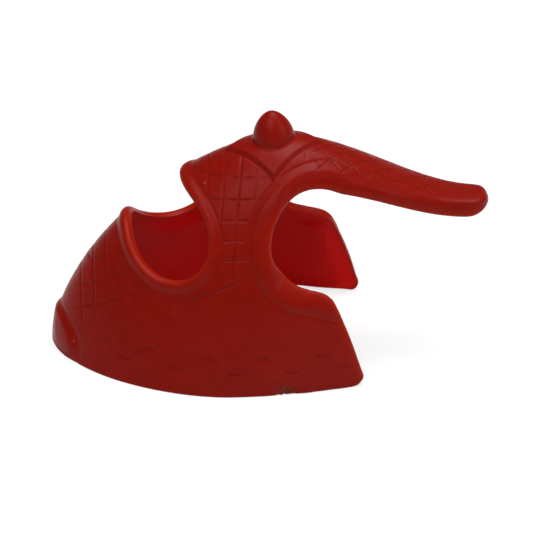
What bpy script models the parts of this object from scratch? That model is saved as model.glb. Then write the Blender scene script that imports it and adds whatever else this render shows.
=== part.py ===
"""Helmet for a toy animal: one hollow moulding in stiff red plastic.

The nose points to -X, the neck guard to +X, and +Z is up.  The origin is on the flat bottom rim,
at the middle of the length and width.  The shell is a vault that follows an egg-shaped plan.
Its sections are parabolas at the nose and stand fuller towards the cheeks.  A horseshoe-shaped
eye opening and a round ear notch go through both sides, and each has a raised trim.  Behind the
ears the crown runs on as a neck guard with a domed top, upright sides and a round tip.
"""

from math import cos, pi, radians, sin

import bmesh
import bpy
import numpy as np
from mathutils import Matrix, Vector

MM = 0.001

# Overall sizes
LENGTH = 85.0 * MM
WIDTH = 46.0 * MM
CROWN_HEIGHT = 44.0 * MM
WALL = 2.4 * MM

# Places along the length, measured back from the tip of the nose
WIDEST_FROM_NOSE = 34.5 * MM
CROWN_FROM_NOSE = 45.0 * MM
EYE_FROM_NOSE = 23.5 * MM
EAR_FROM_NOSE = 51.5 * MM
CHEEK_FOOT_FROM_NOSE = 60.5 * MM
CHEEK_TOP_FROM_NOSE = 54.5 * MM

# Fullness of the curves: 2 is a true ellipse, less is more pointed
PLAN_FULLNESS = 1.75
RIDGE_FULLNESS = 1.6
STUD_FULLNESS = 1.6
SECTION_AT_NOSE = 1.0
SECTION_AT_CHEEK = 1.5
SECTION_AT_TAIL = 4.5

# Neck guard
GUARD_DROP = 11.5 * MM
GUARD_RUN = 38.0 * MM
GUARD_ROOT_DEPTH = 6.8 * MM
GUARD_END_DEPTH = 3.8 * MM
GUARD_ROOT_HALF_WIDTH = 8.0 * MM
GUARD_ROOT_FILLET = 7.5 * MM
GUARD_TIP_RADIUS = 4.0 * MM
GUARD_EDGE_RADIUS = 1.9 * MM

# Eye opening and ear notch
EYE_HEIGHT = 28.2 * MM
EYE_RADIUS = 7.6 * MM
EYE_MOUTH_HALF_WIDTH = 6.4 * MM
EYE_TILT = radians(38)
EAR_HEIGHT = 28.5 * MM
EAR_RADIUS = 8.4 * MM
CHEEK_TOP_HEIGHT = 19.0 * MM
CHEEK_FOOT_RADIUS = 2.4 * MM
CHEEK_TOP_RADIUS = 1.2 * MM

# Raised trim round the openings
TRIM_RISE = 0.6 * MM
EYE_TRIM_WIDTH = 2.7 * MM
EAR_TRIM_WIDTH = 3.6 * MM

# Lozenge plaque and the domed stud on it
PLAQUE_FROM_NOSE = 43.5 * MM
PLAQUE_HALF_LENGTH = 9.2 * MM
PLAQUE_HALF_WIDTH = 8.2 * MM
PLAQUE_RISE = 1.1 * MM
PLAQUE_BEVEL = 0.9 * MM
STUD_RADIUS = 3.9 * MM
STUD_HEIGHT = 5.3 * MM
STUD_FILLET = 0.9 * MM
STUD_TILT = radians(-4)

# Nose pad
PAD_DEPTH_RADIUS = 4.5 * MM
PAD_WIDTH_RADIUS = 5.4 * MM
PAD_HEIGHT_RADIUS = 4.6 * MM
PAD_RISE = 0.2 * MM
PAD_HEIGHT = 3.0 * MM

# Where the arcs of the ear notch and of the guard's root begin or end, from +X over +Z or +Y
EAR_ARC_START = radians(90)
EAR_ARC_END = radians(262)
GUARD_FILLET_START = radians(200)

# How finely the curves are divided
NOSE_INSET = 0.35
SECTION_SAMPLES = 160
FRONT_STATIONS = 22
REAR_STATIONS = 22
SECTION_STEPS = 17
OPENING_STEPS = 32
GUARD_STEPS = 20
CORNER_STEPS = 5
STUD_STEPS = 28
PLAQUE_STEPS = 8
DOME_STEPS = 9

# Working margins, past the part, for bodies that are cut away.  No two cuts end in one plane
MARGIN = 6.0 * MM
SEAT = 1.5 * MM

RED = (0.21, 0.008, 0.003, 1.0)
ROUGHNESS = 0.42

NOSE_X = -LENGTH / 2 + PAD_RISE
TAIL_X = LENGTH / 2
WIDEST_X = NOSE_X + WIDEST_FROM_NOSE
CROWN_X = NOSE_X + CROWN_FROM_NOSE
EYE_X = NOSE_X + EYE_FROM_NOSE
EAR_X = NOSE_X + EAR_FROM_NOSE
CHEEK_FOOT_X = NOSE_X + CHEEK_FOOT_FROM_NOSE
CHEEK_TOP_X = NOSE_X + CHEEK_TOP_FROM_NOSE
PLAQUE_X = NOSE_X + PLAQUE_FROM_NOSE


def clear_scene():
    for item in list(bpy.data.objects):
        bpy.data.objects.remove(item, do_unlink=True)


def red_plastic():
    material = bpy.data.materials.new("red_plastic")
    material.use_nodes = True
    shader = material.node_tree.nodes["Principled BSDF"]
    shader.inputs["Base Color"].default_value = RED
    shader.inputs["Roughness"].default_value = ROUGHNESS
    shader.inputs["Metallic"].default_value = 0.0
    return material


# The vault ------------------------------------------------------------------------------------

def superellipse(t, fullness):
    """Height of a unit superellipse over t, from 1 at the middle to 0 at either end."""
    return max(0.0, 1.0 - abs(t) ** fullness) ** (1.0 / fullness)


def plan_half_width(x, grow):
    """Half-width of the egg-shaped plan, offset by grow.  Behind the cheeks it runs on straight."""
    reach = (WIDEST_X - NOSE_X if x < WIDEST_X else TAIL_X - WIDEST_X) + grow
    t = (min(x, CHEEK_FOOT_X) - WIDEST_X) / reach
    return (WIDTH / 2 + grow) * superellipse(t, PLAN_FULLNESS)


def edge_rounding(x):
    """How far the round edge of the guard's tip has turned in at x, from 0 up to its radius."""
    into = min(1.0, max(0.0, x - TAIL_X + GUARD_EDGE_RADIUS) / GUARD_EDGE_RADIUS)
    return GUARD_EDGE_RADIUS * (1.0 - (1.0 - into ** 2) ** 0.5)


def ridge_height(x, grow):
    """Height of the ridge: a superellipse up to the crown, then a half cosine down the guard."""
    if x < CROWN_X:
        rise = superellipse((x - CROWN_X) / (CROWN_FROM_NOSE + grow), RIDGE_FULLNESS)
        return (CROWN_HEIGHT + grow) * rise
    swing = min(1.0, (x - CROWN_X) / GUARD_RUN)
    drop = GUARD_DROP * (1.0 - cos(pi * swing)) / 2
    return CROWN_HEIGHT + grow - drop - edge_rounding(x)


def section_power(x):
    """Shape of the section at x: a parabola at the nose, fuller at the cheek, flat at the tail."""
    places = (EYE_X, CHEEK_TOP_X, TAIL_X)
    return float(np.interp(x, places, (SECTION_AT_NOSE, SECTION_AT_CHEEK, SECTION_AT_TAIL)))


def vault_half_section(x, grow):
    """Points from the foot of the wall up to the ridge, evenly spaced along the curve."""
    angle = np.linspace(0.0, pi / 2, SECTION_SAMPLES)
    y = plan_half_width(x, grow) * np.cos(angle)
    z = ridge_height(x, grow) * np.sin(angle) ** (2.0 / section_power(x))
    run = np.concatenate(([0.0], np.cumsum(np.hypot(np.diff(y), np.diff(z)))))
    even = np.linspace(0.0, run[-1], SECTION_STEPS + 1)
    return np.interp(even, run, y), np.interp(even, run, z)


def vault_loop(x, grow):
    """The whole section at x as a closed loop, with legs that reach below the bottom rim."""
    y, z = vault_half_section(x, grow)
    y[-1] = 0.0
    foot = grow - MARGIN
    y = np.concatenate(([y[0]], y, -y[-2::-1], [-y[0]]))
    z = np.concatenate(([foot], z, z[-2::-1], [foot]))
    return [Vector((x, across, up)) for across, up in zip(y, z)]


def vault_stations(grow):
    """Places of the sections: close together at the round nose, then evenly back past the tail."""
    reach = WIDEST_X - NOSE_X + grow
    last = FRONT_STATIONS + NOSE_INSET
    turns = [pi / 2 * (step + NOSE_INSET) / last for step in range(FRONT_STATIONS)]
    front = [WIDEST_X - reach * cos(turn) ** (2.0 / PLAN_FULLNESS) for turn in turns]
    rear = np.linspace(WIDEST_X, TAIL_X, REAR_STATIONS)
    return front + [float(x) for x in rear] + [TAIL_X + MARGIN - grow]


def vault(name, grow):
    """A solid loft through the vault's sections, offset by grow from the outer surface."""
    return loft(name, [vault_loop(x, grow) for x in vault_stations(grow)])


# Mesh helpers ---------------------------------------------------------------------------------

def new_object(name, mesh_data):
    mesh = bpy.data.meshes.new(name)
    bmesh.ops.recalc_face_normals(mesh_data, faces=mesh_data.faces)
    mesh_data.to_mesh(mesh)
    mesh_data.free()
    item = bpy.data.objects.new(name, mesh)
    bpy.context.scene.collection.objects.link(item)
    return item


def loft(name, loops):
    """Bridge a row of equal closed loops and cap both ends."""
    mesh_data = bmesh.new()
    rings = [[mesh_data.verts.new(point) for point in loop] for loop in loops]
    count = len(rings[0])
    for near, far in zip(rings, rings[1:]):
        for index in range(count):
            after = (index + 1) % count
            mesh_data.faces.new((near[index], near[after], far[after], far[index]))
    mesh_data.faces.new(rings[0])
    mesh_data.faces.new(rings[-1])
    return new_object(name, mesh_data)


def side_prism(name, outline):
    """Extrude an outline of (x, z) points right through the helmet from side to side."""
    reach = WIDTH / 2 + MARGIN
    loops = [[Vector((x, side * reach, z)) for x, z in outline] for side in (-1, 1)]
    return loft(name, loops)


def helper(item):
    """Mark an object as a guide that only shapes the shell."""
    item.hide_render = True
    item.display_type = "WIRE"
    return item


def boolean(item, other, operation):
    modifier = item.modifiers.new(f"{operation.lower()} {other.name}", "BOOLEAN")
    modifier.operation = operation
    modifier.solver = "EXACT"
    modifier.object = helper(other)


def arc(center, radius, start, end, steps):
    """Points on an arc from the start angle to the end angle."""
    angles = [start + (end - start) * step / steps for step in range(steps + 1)]
    return [(center[0] + radius * cos(angle), center[1] + radius * sin(angle)) for angle in angles]


# Openings -------------------------------------------------------------------------------------

def rounded_corner(before, corner, after, radius):
    """Points of an arc that rounds the corner between two straight edges."""
    corner = Vector(corner)
    back = (Vector(before) - corner).normalized()
    on = (Vector(after) - corner).normalized()
    half = back.angle(on) / 2
    center = corner + (back + on).normalized() * (radius / sin(half))
    start = corner + back * (radius / np.tan(half)) - center
    end = corner + on * (radius / np.tan(half)) - center
    points = []
    for step in range(CORNER_STEPS + 1):
        spoke = start.lerp(end, step / CORNER_STEPS).normalized() * radius
        points.append(tuple(center + spoke))
    return points


def eye_outline(grow):
    """A horseshoe whose mouth opens through the ridge, so both eyes meet over the nose."""
    radius = EYE_RADIUS + grow
    mouth = EYE_MOUTH_HALF_WIDTH + grow
    shoulder = np.arcsin(mouth / radius)
    bow = arc((0.0, 0.0), radius, pi / 2 + shoulder, 5 * pi / 2 - shoulder, OPENING_STEPS)
    beyond = EYE_RADIUS + 2 * MARGIN
    outline = [(-mouth, beyond)] + bow + [(mouth, beyond)]
    turn = Matrix.Rotation(EYE_TILT, 2)
    return [tuple(turn @ Vector(point) + Vector((EYE_X, EYE_HEIGHT))) for point in outline]


def guard_underside(x):
    """Height of the neck guard's lower edge, which thins back and rounds up at the tip."""
    blend = min(1.0, (x - EAR_X) / (TAIL_X - EAR_X))
    depth = GUARD_ROOT_DEPTH + (GUARD_END_DEPTH - GUARD_ROOT_DEPTH) * sin(blend * pi / 2)
    return ridge_height(x, 0.0) - depth + 2 * edge_rounding(x)


def guard_edge():
    """The guard's lower edge from its tip to its root."""
    root_x = EAR_X + EAR_RADIUS / 2
    return [(float(x), guard_underside(x)) for x in np.linspace(TAIL_X, root_x, GUARD_STEPS)]


def ear_front(grow):
    """The round front of the notch, from the guard's root down to the top of the cheek."""
    center = (EAR_X, EAR_HEIGHT)
    return arc(center, EAR_RADIUS + grow, EAR_ARC_START, EAR_ARC_END, OPENING_STEPS)


def rear_cut_outline():
    """Side outline of all that is cut away behind: the ear notch and the space below the guard."""
    past = TAIL_X + 2 * MARGIN
    deep = -2 * MARGIN
    top = (CHEEK_TOP_X, CHEEK_TOP_HEIGHT)
    foot = (CHEEK_FOOT_X, 0.0)
    sole = (EAR_X, 0.0)
    notch = ear_front(0.0)
    outline = [(past, guard_underside(TAIL_X))] + guard_edge() + notch
    outline += rounded_corner(notch[-1], top, foot, CHEEK_TOP_RADIUS)
    outline += rounded_corner(top, foot, sole, CHEEK_FOOT_RADIUS)
    outline += [(CHEEK_FOOT_X - CHEEK_FOOT_RADIUS, deep), (past, deep)]
    return outline


def ear_trim_outline():
    """Side outline of the raised trim: it runs round the notch and out along the cheek's top."""
    past = TAIL_X + 2 * MARGIN
    fade_x = EAR_X + EAR_RADIUS + EAR_TRIM_WIDTH
    outline = ear_front(EAR_TRIM_WIDTH)
    outline += [(CHEEK_TOP_X, CHEEK_TOP_HEIGHT - EAR_TRIM_WIDTH), (past, 0.0)]
    outline += [(past, EAR_HEIGHT - EAR_RADIUS), (fade_x, guard_underside(fade_x) - TRIM_RISE)]
    return outline


def guard_plan_edge(inset):
    """One side of the guard in plan: a fillet out to the crown, a straight taper, a round tip."""
    root = (EAR_X, GUARD_ROOT_HALF_WIDTH + GUARD_ROOT_FILLET)
    tip_x = TAIL_X - GUARD_TIP_RADIUS
    taper = np.arctan2(GUARD_ROOT_HALF_WIDTH - GUARD_TIP_RADIUS, tip_x - EAR_X)
    end = 3 * pi / 2 - taper
    fillet = arc(root, GUARD_ROOT_FILLET + inset, GUARD_FILLET_START, end, CORNER_STEPS)
    tip = arc((tip_x, 0.0), GUARD_TIP_RADIUS - inset, pi / 2 - taper, 0.0, CORNER_STEPS)
    return fillet + tip


def guard_side_cut(name, inset):
    """A fork-shaped block round the guard's upright sides and round tip, or an inset inside them."""
    edge = guard_plan_edge(inset)
    side = WIDTH + MARGIN + inset
    past = TAIL_X + 3 * MARGIN + inset
    lowest = min(height for _, height in guard_edge()) - TRIM_RISE
    outline = [(edge[0][0], side)] + edge + [(x, -y) for x, y in edge[-2::-1]]
    outline += [(edge[0][0], -side), (past, -side), (past, side)]
    levels = (min(EAR_HEIGHT, lowest) - inset, CROWN_HEIGHT + 2 * MARGIN + inset)
    return loft(name, [[Vector((x, y, z)) for x, y in outline] for z in levels])


def hollow():
    """The inside of the shell, a wall in from the vault and from the guard's sides."""
    inside = vault("hollow", -WALL)
    boolean(inside, guard_side_cut("guard_walls", WALL), "DIFFERENCE")
    return inside


def raised_trim(name, outline):
    """The part of the vault inside an outline, lifted by the trim's rise."""
    trim = vault(name, TRIM_RISE)
    boolean(trim, side_prism(f"{name}_outline", outline), "INTERSECT")
    return trim


# Plaque, stud and nose pad --------------------------------------------------------------------

def draped(x, y, grow):
    """The point of the vault's surface above (x, y), offset by grow."""
    across = min(1.0, abs(y) / plan_half_width(x, grow))
    return Vector((x, y, ridge_height(x, grow) * (1.0 - across ** 2) ** (1.0 / section_power(x))))


def plaque():
    """A lozenge draped over the crown with sloped edges, and sunk into the shell by its seat."""
    edge_length = np.hypot(PLAQUE_HALF_LENGTH, PLAQUE_HALF_WIDTH)
    inner_radius = PLAQUE_HALF_LENGTH * PLAQUE_HALF_WIDTH / edge_length
    flat = 1.0 - PLAQUE_BEVEL / inner_radius
    ticks = [-1.0, *np.linspace(-flat, flat, PLAQUE_STEPS + 1), 1.0]
    mesh_data = bmesh.new()
    top = []
    foot = []
    for u in ticks:
        for v in ticks:
            x = PLAQUE_X + PLAQUE_HALF_LENGTH * (u + v) / 2
            y = PLAQUE_HALF_WIDTH * (u - v) / 2
            rise = PLAQUE_RISE if max(abs(u), abs(v)) < 1.0 else 0.0
            top.append(mesh_data.verts.new(draped(x, y, rise)))
            foot.append(mesh_data.verts.new(draped(x, y, -SEAT)))
    row = len(ticks)
    for i in range(row - 1):
        for j in range(row - 1):
            cell = (i * row + j, (i + 1) * row + j, (i + 1) * row + j + 1, i * row + j + 1)
            mesh_data.faces.new([top[index] for index in cell])
            mesh_data.faces.new([foot[index] for index in reversed(cell)])
    border = [i * row for i in range(row)]
    border += [(row - 1) * row + j for j in range(1, row)]
    border += [i * row + row - 1 for i in range(row - 2, -1, -1)]
    border += list(range(row - 2, 0, -1))
    for index, after in zip(border, border[1:] + border[:1]):
        mesh_data.faces.new((top[index], foot[index], foot[after], top[after]))
    return new_object("plaque", mesh_data)


def stud():
    """The domed stud: a fillet that follows the plaque, then a bullet-shaped dome."""
    foot = STUD_RADIUS + STUD_FILLET
    rings = []
    for step in range(STUD_STEPS):
        turn = 2 * pi * step / STUD_STEPS
        profile = [(foot, -SEAT)]
        for part in range(CORNER_STEPS + 1):
            bend = part / CORNER_STEPS * pi / 2
            profile.append((foot - STUD_FILLET * sin(bend), STUD_FILLET * (1.0 - cos(bend))))
        ring = []
        for radius, lift in profile:
            x = PLAQUE_X + radius * cos(turn)
            ring.append(draped(x, radius * sin(turn), PLAQUE_RISE) + Vector((0.0, 0.0, lift)))
        rings.append(ring + stud_dome(turn, ring[-1]))
    mesh_data = bmesh.new()
    columns = [[mesh_data.verts.new(point) for point in ring] for ring in rings]
    apex = mesh_data.verts.new(stud_axis_point(STUD_HEIGHT))
    for near, far in zip(columns, columns[1:] + columns[:1]):
        for index in range(len(near) - 1):
            mesh_data.faces.new((near[index], far[index], far[index + 1], near[index + 1]))
        mesh_data.faces.new((near[-1], far[-1], apex))
    mesh_data.faces.new([column[0] for column in columns])
    return new_object("stud", mesh_data)


def stud_axis_point(height):
    """A point on the stud's leaning axis at a height above the plaque."""
    lean = height * np.tan(STUD_TILT)
    return Vector((PLAQUE_X + lean, 0.0, ridge_height(PLAQUE_X, PLAQUE_RISE) + height))


def stud_dome(turn, waist):
    """Points up one side of the dome from the top of the fillet, short of the apex."""
    points = []
    for step in range(1, DOME_STEPS):
        share = sin(step / DOME_STEPS * pi / 2)
        radius = STUD_RADIUS * superellipse(share, STUD_FULLNESS)
        axis = stud_axis_point(STUD_HEIGHT * share)
        height = waist.z + (axis.z + STUD_HEIGHT * (1.0 - share) - waist.z) * share
        points.append(Vector((axis.x + radius * cos(turn), radius * sin(turn), height)))
    return points


def nose_pad():
    """A low oval pad across the front of the nose."""
    mesh_data = bmesh.new()
    bmesh.ops.create_uvsphere(mesh_data, u_segments=24, v_segments=14, radius=1.0)
    size = Matrix.Diagonal((PAD_DEPTH_RADIUS, PAD_WIDTH_RADIUS, PAD_HEIGHT_RADIUS, 1.0))
    seat = Vector((NOSE_X + PAD_DEPTH_RADIUS - PAD_RISE, 0.0, PAD_HEIGHT))
    mesh_data.transform(Matrix.Translation(seat) @ size)
    return new_object("nose_pad", mesh_data)


def floor_cut():
    """Everything below the bottom rim."""
    reach = LENGTH / 2 + 4 * MARGIN
    side = WIDTH / 2 + 2 * MARGIN
    corners = ((-reach, -side), (reach, -side), (reach, side), (-reach, side))
    levels = (-3 * MARGIN, 0.0)
    return loft("floor_cut", [[Vector((x, y, z)) for x, y in corners] for z in levels])


def helmet_shell():
    """The whole moulding, from the solid vault to the hollow, trimmed and opened shell."""
    shell = vault("helmet_shell", 0.0)
    boolean(shell, raised_trim("eye_trim", eye_outline(EYE_TRIM_WIDTH)), "UNION")
    boolean(shell, raised_trim("ear_trim", ear_trim_outline()), "UNION")
    boolean(shell, plaque(), "UNION")
    boolean(shell, stud(), "UNION")
    boolean(shell, nose_pad(), "UNION")
    boolean(shell, hollow(), "DIFFERENCE")
    boolean(shell, side_prism("eye_cut", eye_outline(0.0)), "DIFFERENCE")
    boolean(shell, side_prism("rear_cut", rear_cut_outline()), "DIFFERENCE")
    boolean(shell, guard_side_cut("guard_side_cut", 0.0), "DIFFERENCE")
    boolean(shell, floor_cut(), "DIFFERENCE")
    shell.data.shade_smooth()
    shell.data.set_sharp_from_angle(angle=radians(35))
    shell.data.materials.append(red_plastic())
    return shell


clear_scene()
helmet_shell()
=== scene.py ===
# %% [markdown]
# # A toy animal's helmet in moulded red plastic
#
# The real object is one thin shell, moulded in one shot.  It has two eye openings that meet over the
# nose, two ear notches that are open behind, raised trims round them, a lozenge plaque with a domed
# stud on the crown, and a neck guard that sweeps back.  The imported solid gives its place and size.
# This file makes the shell again as fine surfaces, so that it can carry the rolled rims, the engraved
# lines and the marks of moulding.

import bpy
import numpy as np
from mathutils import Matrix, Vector


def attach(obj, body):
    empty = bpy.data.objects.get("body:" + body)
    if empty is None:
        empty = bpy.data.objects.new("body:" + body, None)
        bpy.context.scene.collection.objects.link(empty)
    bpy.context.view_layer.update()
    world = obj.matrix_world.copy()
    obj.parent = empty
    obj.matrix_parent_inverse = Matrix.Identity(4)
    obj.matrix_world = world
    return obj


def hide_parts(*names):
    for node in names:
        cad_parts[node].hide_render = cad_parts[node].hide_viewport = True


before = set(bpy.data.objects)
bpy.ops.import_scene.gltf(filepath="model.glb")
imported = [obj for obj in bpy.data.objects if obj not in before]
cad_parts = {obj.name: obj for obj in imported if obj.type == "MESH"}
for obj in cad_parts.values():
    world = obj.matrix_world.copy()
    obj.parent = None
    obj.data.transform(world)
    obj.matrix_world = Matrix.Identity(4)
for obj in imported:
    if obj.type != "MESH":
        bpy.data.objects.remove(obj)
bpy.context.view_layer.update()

# %% [markdown]
# ## Sizes
#
# All sizes are the solid's own, in metres, and places along the length are measured back from the tip
# of the nose.  Keeping the same few numbers means that every surface below lies where the solid is,
# with nothing fitted by eye.

# %% Sizes of the shell
MM = 0.001
LENGTH = 85.0 * MM
WIDTH = 46.0 * MM
CROWN_HEIGHT = 44.0 * MM
WALL = 2.4 * MM
NOSE_X = -42.3 * MM
TAIL_X = LENGTH / 2
WIDEST_X = NOSE_X + 34.5 * MM
CROWN_RUN = 45.0 * MM
CROWN_X = NOSE_X + CROWN_RUN
EYE_X = NOSE_X + 23.5 * MM
EAR_X = NOSE_X + 51.5 * MM
CHEEK_FOOT_X = NOSE_X + 60.5 * MM
CHEEK_TOP_X = NOSE_X + 54.5 * MM
PLAN_FULLNESS = 1.75
RIDGE_FULLNESS = 1.6
SECTION_POWERS = (1.0, 1.5, 4.5)
print("wall", WALL / MM, "mm, nose at", NOSE_X / MM, "mm")

# %% Sizes of the guard and the openings
GUARD_DROP = 11.5 * MM
GUARD_RUN = 38.0 * MM
GUARD_ROOT_DEPTH = 6.8 * MM
GUARD_END_DEPTH = 3.8 * MM
GUARD_ROOT_HALF_WIDTH = 8.0 * MM
GUARD_ROOT_FILLET = 7.5 * MM
GUARD_FILLET_START = np.radians(200)
GUARD_TIP_RADIUS = 4.0 * MM
GUARD_EDGE_RADIUS = 1.9 * MM
GUARD_SHOULDER = 2.6 * MM
EYE_HEIGHT = 28.2 * MM
EYE_RADIUS = 7.6 * MM
EYE_MOUTH_HALF_WIDTH = 6.4 * MM
EYE_TILT = np.radians(38)
EAR_HEIGHT = 28.5 * MM
EAR_RADIUS = 8.4 * MM
EAR_ARC_END = np.radians(262)
CHEEK_TOP_HEIGHT = 19.0 * MM
CORNER_BLEND = 1.6 * MM
HOLD_HEIGHTS = (CHEEK_TOP_HEIGHT - 2 * MM, EAR_HEIGHT + 3 * MM)
HOLD_PLACES = (EAR_X + 1 * MM, EAR_X + 7 * MM)
GUARD_ABOVE = CHEEK_TOP_HEIGHT + 4 * MM
print("eye at", EYE_X / MM, "mm, ear at", EAR_X / MM, "mm")

# %% [markdown]
# ## The vault
#
# The shell could be sculpted, or lofted by hand through a few sections.  Here it is a formula, since
# the curves are smooth everywhere: an egg-shaped plan and a ridge line, both superellipses, and between
# them a section that is a parabola at the nose and grows fuller towards the tail.  The neck guard is
# the same vault with its width held in by the guard's own plan.

# %% The plan and the ridge
def superellipse(t, fullness):
    """Height of a unit superellipse over t: one, less |t| to the fullness, to one over the fullness."""
    return np.maximum(0.0, 1.0 - np.abs(t) ** fullness) ** (1.0 / fullness)


def plan_half_width(x):
    """Half-width of the egg-shaped plan at x.  Behind the cheeks it runs on straight."""
    reach = np.where(x < WIDEST_X, WIDEST_X - NOSE_X, TAIL_X - WIDEST_X)
    t = (np.minimum(x, CHEEK_FOOT_X) - WIDEST_X) / reach
    return WIDTH / 2 * superellipse(t, PLAN_FULLNESS)


def crown_line(x):
    """Ridge height before its tip is rounded: a superellipse, then a half cosine down the guard."""
    rise = CROWN_HEIGHT * superellipse(np.minimum(x - CROWN_X, 0.0) / CROWN_RUN, RIDGE_FULLNESS)
    swing = np.clip((x - CROWN_X) / GUARD_RUN, 0.0, 1.0)
    return rise - GUARD_DROP * (1.0 - np.cos(np.pi * swing)) / 2


def ridge_height(x):
    """The crown line with the guard's tip rounded by a quarter circle."""
    into = np.clip((x - TAIL_X + GUARD_EDGE_RADIUS) / GUARD_EDGE_RADIUS, 0.0, 1.0)
    return crown_line(x) - GUARD_EDGE_RADIUS * (1.0 - np.sqrt(1.0 - into ** 2))


print("crown", round(float(ridge_height(CROWN_X)) / MM, 2), "mm high")


# %% The guard's plan
def guard_half_width(x):
    """Half-width of the guard: a steep line, a hollow arc, a straight taper and a round tip."""
    tip_x = TAIL_X - GUARD_TIP_RADIUS
    taper = np.arctan2(GUARD_ROOT_HALF_WIDTH - GUARD_TIP_RADIUS, tip_x - EAR_X)
    across = GUARD_ROOT_HALF_WIDTH + GUARD_ROOT_FILLET
    start_x = EAR_X + GUARD_ROOT_FILLET * np.cos(GUARD_FILLET_START)
    start_y = across + GUARD_ROOT_FILLET * np.sin(GUARD_FILLET_START)
    arc_end = EAR_X - GUARD_ROOT_FILLET * np.sin(taper)
    tip_start = tip_x + GUARD_TIP_RADIUS * np.sin(taper)
    inside = GUARD_ROOT_FILLET ** 2 - (np.clip(x, start_x, arc_end) - EAR_X) ** 2
    hollow_arc = across - np.sqrt(inside)
    steep = start_y + (start_x - x) / np.tan(GUARD_FILLET_START)
    line = np.interp(x, (arc_end, tip_start), (across - GUARD_ROOT_FILLET * np.cos(taper),
                                               GUARD_TIP_RADIUS * np.cos(taper)))
    round_tip = np.sqrt(np.maximum(0.0, GUARD_TIP_RADIUS ** 2 - (x - tip_x) ** 2))
    return np.select((x < start_x, x < arc_end, x < tip_start), (steep, hollow_arc, line), round_tip)


print("guard", round(2 * float(guard_half_width(EAR_X)) / MM, 1), "mm wide at its root")


# %% The section
def smooth_least(a, b, blend):
    """The lesser of a and b, less a quarter of the blend where they are equal, for a round corner."""
    close = np.clip(1.0 - np.abs(a - b) / blend, 0.0, 1.0)
    return np.minimum(a, b) - close ** 2 * blend / 4


def smooth_step(low, high, value):
    """Rises from 0 at low to 1 at high as three t squared less two t cubed.  It falls instead where low
    is the greater of the two."""
    t = np.clip((value - low) / (high - low), 0.0, 1.0)
    return t * t * (3.0 - 2.0 * t)


def section_power(x):
    """Power of the section at x, which runs in straight lines from the eye to the cheek and the tail."""
    return np.interp(x, (EYE_X, CHEEK_TOP_X, TAIL_X), SECTION_POWERS)


def section(x, turn):
    """Half of the section at x: y is width times the cosine of the turn, and z is height times the
    sine to two over the section's power.  Above the cheeks the guard's plan holds y in."""
    y = plan_half_width(x) * np.cos(turn)
    z = ridge_height(x) * np.sin(turn) ** (2.0 / section_power(x))
    limit = np.maximum(guard_half_width(x), 0.0)
    held = np.maximum(smooth_least(y, limit, np.minimum(GUARD_SHOULDER, 2 * limit + 1e-9)), 0.0)
    on_guard = smooth_step(*HOLD_PLACES, x) * (z > GUARD_ABOVE)
    above = np.maximum(smooth_step(*HOLD_HEIGHTS, z), on_guard)
    return y + (held - y) * above, z


print("section power", SECTION_POWERS[0], "at the eye and", SECTION_POWERS[2], "at the tail")

# %% [markdown]
# ## An even grid over the vault
#
# The mould's fine lines are cut all over the shell.  On a mesh they need cells of one size, or they come
# out ragged.  A remesh could even the cells out, but it would round off what is sharp.  Here the rows
# follow the longest of the vault's guiding curves, and the columns divide each section by its length.

# %% Rows and columns
CELL = 0.165 * MM
LENGTH_SAMPLES = 6001


def station_places():
    """Places of the rows, evenly spaced along whichever guiding curve moves fastest.  The samples lie
    closer at both ends, by a half cosine."""
    share = (1.0 - np.cos(np.linspace(0.0, np.pi, LENGTH_SAMPLES))) / 2
    dense = NOSE_X + (TAIL_X - NOSE_X) * share
    guard_guide = np.minimum(guard_half_width(dense), GUARD_ROOT_HALF_WIDTH)
    guides = (plan_half_width(dense), ridge_height(dense), guard_guide)
    steps = np.max([np.abs(np.diff(guide)) for guide in guides], axis=0)
    run = np.concatenate(([0.0], np.cumsum(np.hypot(np.diff(dense), steps))))
    rows = int(run[-1] / CELL)
    return np.interp(np.linspace(0.0, run[-1], rows + 1), run, dense)


stations = station_places()
print(len(stations), "rows")


# %% The grid of points
SECTION_SAMPLES = 400


def section_grid():
    """Points of every half-section, spaced evenly by length, as arrays of rows by columns.  One call of
    interp serves all rows, since each row's lengths are lifted by two above those of the row before."""
    turn = np.linspace(0.0, np.pi / 2, SECTION_SAMPLES)[None, :]
    y, z = section(stations[:, None], turn)
    y[:, -1] = 0.0
    steps = np.hypot(np.diff(y, axis=1), np.diff(z, axis=1)) + 1e-12
    run = np.cumsum(np.pad(steps, ((0, 0), (1, 0))), axis=1)
    columns = int(run[:, -1].max() / CELL)
    share = np.linspace(0.0, 1.0, columns + 1)[None, :]
    shelf = 2.0 * np.arange(len(stations))[:, None]
    known = (run / run[:, -1:] + shelf).ravel()
    wanted = (share + shelf).ravel()
    shape = (len(stations), columns + 1)
    even_y = np.interp(wanted, known, y.ravel()).reshape(shape)
    even_z = np.interp(wanted, known, z.ravel()).reshape(shape)
    x = np.broadcast_to(stations[:, None], shape)
    return np.stack((x, even_y, even_z), axis=-1)


grid = section_grid()
ROWS, COLUMNS = grid.shape[:2]
print(ROWS, "rows of", COLUMNS, "points")


# %% Normals of the vault
SMEAR_REACH = 1.6 * MM
MIDDLE = (0.0, 0.0, 10 * MM)


def unit(vectors):
    """Vectors scaled to length one."""
    return vectors / np.maximum(np.linalg.norm(vectors, axis=-1, keepdims=True), 1e-15)


def grid_normals():
    """Cross product of the two tangents at each point, set directly at the nose and on the ridge."""
    along = np.gradient(grid, axis=0)
    up = np.gradient(grid, axis=1)
    normals = np.cross(up, along)
    normals[:, -1, 1] = 0.0
    normals[0] = (-1.0, 0.0, 0.0)
    return unit(normals)


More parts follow.
